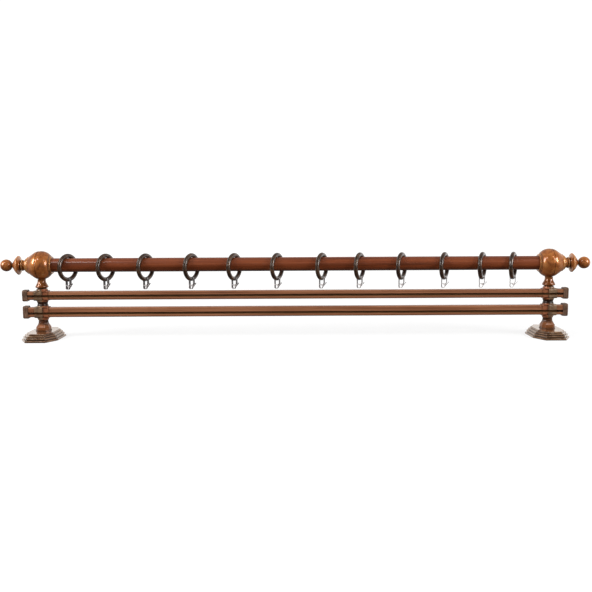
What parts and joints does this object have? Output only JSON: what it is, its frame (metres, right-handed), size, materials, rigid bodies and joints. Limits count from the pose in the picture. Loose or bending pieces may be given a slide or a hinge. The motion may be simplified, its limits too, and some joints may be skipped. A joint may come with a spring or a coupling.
{
  "type": "double track curtain pole set",
  "caption": "Curtain pole on two turned brackets with ball finials, hanging rings with spring clips, and two slotted curtain tracks between the pole and the wall plates.",
  "frame": {"origin": "middle of the plane that the two wall plates lie on, at the bottom centre of the bounding box", "axes": "+X along the pole to the right, -Y is the side that the slots of both tracks face (down, once the set is on a wall), +Z away from the wall"},
  "size_m": [1.272, 0.12, 0.1902],
  "materials": {
    "aged_copper": "polished antique copper lacquer, mottled, darker in the grooves",
    "stem_bronze": "antique copper lacquer, darker than the finials",
    "holder_bronze": "brown bronze lacquer, glossy, rubbed bright on the edges",
    "base_bronze": "glossy dark olive-brown bronze lacquer",
    "pole_woodgrain": "reddish-brown wood-grain film under gloss lacquer",
    "track_brown": "reddish-brown wood-grain film, satin",
    "cap_brown": "moulded brown plastic, slightly glossy",
    "ring_bronze": "dark bronze lacquer with rubbed highlights",
    "clip_chrome": "bright nickel-plated spring steel",
    "steel": "zinc-plated steel"
  },
  "bodies": {
    "root": {"mounting_plate_left": "steel", "base_cover_left": "base_bronze", "pedestal_left": "stem_bronze", "lower_track_holder_left": "holder_bronze", "spacer_left": "stem_bronze", "upper_track_holder_left": "holder_bronze", "pole_cup_left": "aged_copper", "finial_left": "aged_copper", "mounting_plate_right": "steel", "base_cover_right": "base_bronze", "pedestal_right": "stem_bronze", "lower_track_holder_right": "holder_bronze", "spacer_right": "stem_bronze", "upper_track_holder_right": "holder_bronze", "pole_cup_right": "aged_copper", "finial_right": "aged_copper", "pole": "pole_woodgrain", "upper_track": "track_brown", "lower_track": "track_brown", "upper_end_caps": "cap_brown", "lower_end_caps": "cap_brown", "joining_studs": "steel", "base_studs": "steel", "grub_screws": "steel"},
    "ring_01": {"ring_01": "ring_bronze"},
    "clip_01": {"clip_01": "clip_chrome"},
    "jaw_01": {"jaw_01": "clip_chrome"},
    "ring_02": {"ring_02": "ring_bronze"},
    "clip_02": {"clip_02": "clip_chrome"},
    "jaw_02": {"jaw_02": "clip_chrome"},
    "ring_03": {"ring_03": "ring_bronze"},
    "clip_03": {"clip_03": "clip_chrome"},
    "jaw_03": {"jaw_03": "clip_chrome"},
    "ring_04": {"ring_04": "ring_bronze"},
    "clip_04": {"clip_04": "clip_chrome"},
    "jaw_04": {"jaw_04": "clip_chrome"},
    "ring_05": {"ring_05": "ring_bronze"},
    "clip_05": {"clip_05": "clip_chrome"},
    "jaw_05": {"jaw_05": "clip_chrome"},
    "ring_06": {"ring_06": "ring_bronze"},
    "clip_06": {"clip_06": "clip_chrome"},
    "jaw_06": {"jaw_06": "clip_chrome"},
    "ring_07": {"ring_07": "ring_bronze"},
    "clip_07": {"clip_07": "clip_chrome"},
    "jaw_07": {"jaw_07": "clip_chrome"},
    "ring_08": {"ring_08": "ring_bronze"},
    "clip_08": {"clip_08": "clip_chrome"},
    "jaw_08": {"jaw_08": "clip_chrome"},
    "ring_09": {"ring_09": "ring_bronze"},
    "clip_09": {"clip_09": "clip_chrome"},
    "jaw_09": {"jaw_09": "clip_chrome"},
    "ring_10": {"ring_10": "ring_bronze"},
    "clip_10": {"clip_10": "clip_chrome"},
    "jaw_10": {"jaw_10": "clip_chrome"},
    "ring_11": {"ring_11": "ring_bronze"},
    "clip_11": {"clip_11": "clip_chrome"},
    "jaw_11": {"jaw_11": "clip_chrome"},
    "ring_12": {"ring_12": "ring_bronze"},
    "clip_12": {"clip_12": "clip_chrome"},
    "jaw_12": {"jaw_12": "clip_chrome"}
  },
  "joints": [
    {"name": "ring_01_slide", "type": "slide", "parent": "root", "child": "ring_01", "axis": [-1, 0, 0], "range_m": [-0.03, 0.0163]},
    {"name": "clip_01_swing", "type": "hinge", "parent": "ring_01", "child": "clip_01", "pos_m": [-0.4906, 0, 0.1284], "axis": [0.8949, -0.4462, 0], "range_deg": [-60, 60]},
    {"name": "jaw_01_open", "type": "hinge", "parent": "clip_01", "child": "jaw_01", "pos_m": [-0.48791, -0.00134, 0.1128], "axis": [-0.4462, -0.8949, 0], "range_deg": [0, 20], "stiffness_Nm_per_rad": 0.05, "springref_deg": -28.65},
    {"name": "ring_02_slide", "type": "slide", "parent": "ring_01", "child": "ring_02", "axis": [-1, 0, 0], "range_m": [0, 0.0626]},
    {"name": "clip_02_swing", "type": "hinge", "parent": "ring_02", "child": "clip_02", "pos_m": [-0.409, 0, 0.1284], "axis": [0.8949, -0.4462, 0], "range_deg": [-60, 60]},
    {"name": "jaw_02_open", "type": "hinge", "parent": "clip_02", "child": "jaw_02", "pos_m": [-0.40631, -0.00134, 0.1128], "axis": [-0.4462, -0.8949, 0], "range_deg": [0, 20], "stiffness_Nm_per_rad": 0.05, "springref_deg": -28.65},
    {"name": "ring_03_slide", "type": "slide", "parent": "ring_02", "child": "ring_03", "axis": [-1, 0, 0], "range_m": [0, 0.067]},
    {"name": "clip_03_swing", "type": "hinge", "parent": "ring_03", "child": "clip_03", "pos_m": [-0.323, 0, 0.1284], "axis": [0.8988, -0.4384, 0], "range_deg": [-60, 60]},
    {"name": "jaw_03_open", "type": "hinge", "parent": "clip_03", "child": "jaw_03", "pos_m": [-0.3203, -0.00131, 0.1128], "axis": [-0.4384, -0.8988, 0], "range_deg": [0, 20], "stiffness_Nm_per_rad": 0.05, "springref_deg": -28.65},
    {"name": "ring_04_slide", "type": "slide", "parent": "ring_03", "child": "ring_04", "axis": [-1, 0, 0], "range_m": [0, 0.08]},
    {"name": "clip_04_swing", "type": "hinge", "parent": "ring_04", "child": "clip_04", "pos_m": [-0.224, 0, 0.1284], "axis": [0.9026, -0.4305, 0], "range_deg": [-60, 60]},
    {"name": "jaw_04_open", "type": "hinge", "parent": "clip_04", "child": "jaw_04", "pos_m": [-0.22129, -0.00129, 0.1128], "axis": [-0.4305, -0.9026, 0], "range_deg": [0, 20], "stiffness_Nm_per_rad": 0.05, "springref_deg": -28.65},
    {"name": "ring_05_slide", "type": "slide", "parent": "ring_04", "child": "ring_05", "axis": [-1, 0, 0], "range_m": [0, 0.0734]},
    {"name": "clip_05_swing", "type": "hinge", "parent": "ring_05", "child": "clip_05", "pos_m": [-0.1316, 0, 0.1284], "axis": [0.9026, -0.4305, 0], "range_deg": [-60, 60]},
    {"name": "jaw_05_open", "type": "hinge", "parent": "clip_05", "child": "jaw_05", "pos_m": [-0.12889, -0.00129, 0.1128], "axis": [-0.4305, -0.9026, 0], "range_deg": [0, 20], "stiffness_Nm_per_rad": 0.05, "springref_deg": -28.65},
    {"name": "ring_06_slide", "type": "slide", "parent": "ring_05", "child": "ring_06", "axis": [-1, 0, 0], "range_m": [0, 0.0736]},
    {"name": "clip_06_swing", "type": "hinge", "parent": "ring_06", "child": "clip_06", "pos_m": [-0.039, 0, 0.1284], "axis": [0.91, -0.4147, 0], "range_deg": [-60, 60]},
    {"name": "jaw_06_open", "type": "hinge", "parent": "clip_06", "child": "jaw_06", "pos_m": [-0.03627, -0.00124, 0.1128], "axis": [-0.4147, -0.91, 0], "range_deg": [0, 20], "stiffness_Nm_per_rad": 0.05, "springref_deg": -28.65},
    {"name": "ring_12_slide", "type": "slide", "parent": "root", "child": "ring_12", "axis": [1, 0, 0], "range_m": [-0.03, 0.0365]},
    {"name": "clip_12_swing", "type": "hinge", "parent": "ring_12", "child": "clip_12", "pos_m": [0.4704, 0, 0.1284], "axis": [0.8949, -0.4462, 0], "range_deg": [-60, 60]},
    {"name": "jaw_12_open", "type": "hinge", "parent": "clip_12", "child": "jaw_12", "pos_m": [0.47308, -0.00134, 0.1128], "axis": [-0.4462, -0.8949, 0], "range_deg": [0, 20], "stiffness_Nm_per_rad": 0.05, "springref_deg": -28.65},
    {"name": "ring_11_slide", "type": "slide", "parent": "ring_12", "child": "ring_11", "axis": [1, 0, 0], "range_m": [0, 0.0476]},
    {"name": "clip_11_swing", "type": "hinge", "parent": "ring_11", "child": "clip_11", "pos_m": [0.4038, 0, 0.1284], "axis": [0.8988, -0.4384, 0], "range_deg": [-60, 60]},
    {"name": "jaw_11_open", "type": "hinge", "parent": "clip_11", "child": "jaw_11", "pos_m": [0.4065, -0.00131, 0.1128], "axis": [-0.4384, -0.8988, 0], "range_deg": [0, 20], "stiffness_Nm_per_rad": 0.05, "springref_deg": -28.65},
    {"name": "ring_10_slide", "type": "slide", "parent": "ring_11", "child": "ring_10", "axis": [1, 0, 0], "range_m": [0, 0.0628]},
    {"name": "clip_10_swing", "type": "hinge", "parent": "ring_10", "child": "clip_10", "pos_m": [0.322, 0, 0.1284], "axis": [0.8988, -0.4384, 0], "range_deg": [-60, 60]},
    {"name": "jaw_10_open", "type": "hinge", "parent": "clip_10", "child": "jaw_10", "pos_m": [0.3247, -0.00131, 0.1128], "axis": [-0.4384, -0.8988, 0], "range_deg": [0, 20], "stiffness_Nm_per_rad": 0.05, "springref_deg": -28.65},
    {"name": "ring_09_slide", "type": "slide", "parent": "ring_10", "child": "ring_09", "axis": [1, 0, 0], "range_m": [0, 0.0734]},
    {"name": "clip_09_swing", "type": "hinge", "parent": "ring_09", "child": "clip_09", "pos_m": [0.2296, 0, 0.1284], "axis": [0.9026, -0.4305, 0], "range_deg": [-60, 60]},
    {"name": "jaw_09_open", "type": "hinge", "parent": "clip_09", "child": "jaw_09", "pos_m": [0.23231, -0.00129, 0.1128], "axis": [-0.4305, -0.9026, 0], "range_deg": [0, 20], "stiffness_Nm_per_rad": 0.05, "springref_deg": -28.65},
    {"name": "ring_08_slide", "type": "slide", "parent": "ring_09", "child": "ring_08", "axis": [1, 0, 0], "range_m": [0, 0.0713]},
    {"name": "clip_08_swing", "type": "hinge", "parent": "ring_08", "child": "clip_08", "pos_m": [0.1393, 0, 0.1284], "axis": [0.91, -0.4147, 0], "range_deg": [-60, 60]},
    {"name": "jaw_08_open", "type": "hinge", "parent": "clip_08", "child": "jaw_08", "pos_m": [0.14203, -0.00124, 0.1128], "axis": [-0.4147, -0.91, 0], "range_deg": [0, 20], "stiffness_Nm_per_rad": 0.05, "springref_deg": -28.65},
    {"name": "ring_07_slide", "type": "slide", "parent": "ring_08", "child": "ring_07", "axis": [1, 0, 0], "range_m": [0, 0.0627]},
    {"name": "clip_07_swing", "type": "hinge", "parent": "ring_07", "child": "clip_07", "pos_m": [0.0576, 0, 0.1284], "axis": [0.9063, -0.4226, 0], "range_deg": [-60, 60]},
    {"name": "jaw_07_open", "type": "hinge", "parent": "clip_07", "child": "jaw_07", "pos_m": [0.06032, -0.00127, 0.1128], "axis": [-0.4226, -0.9063, 0], "range_deg": [0, 20], "stiffness_Nm_per_rad": 0.05, "springref_deg": -28.65}
  ]
}
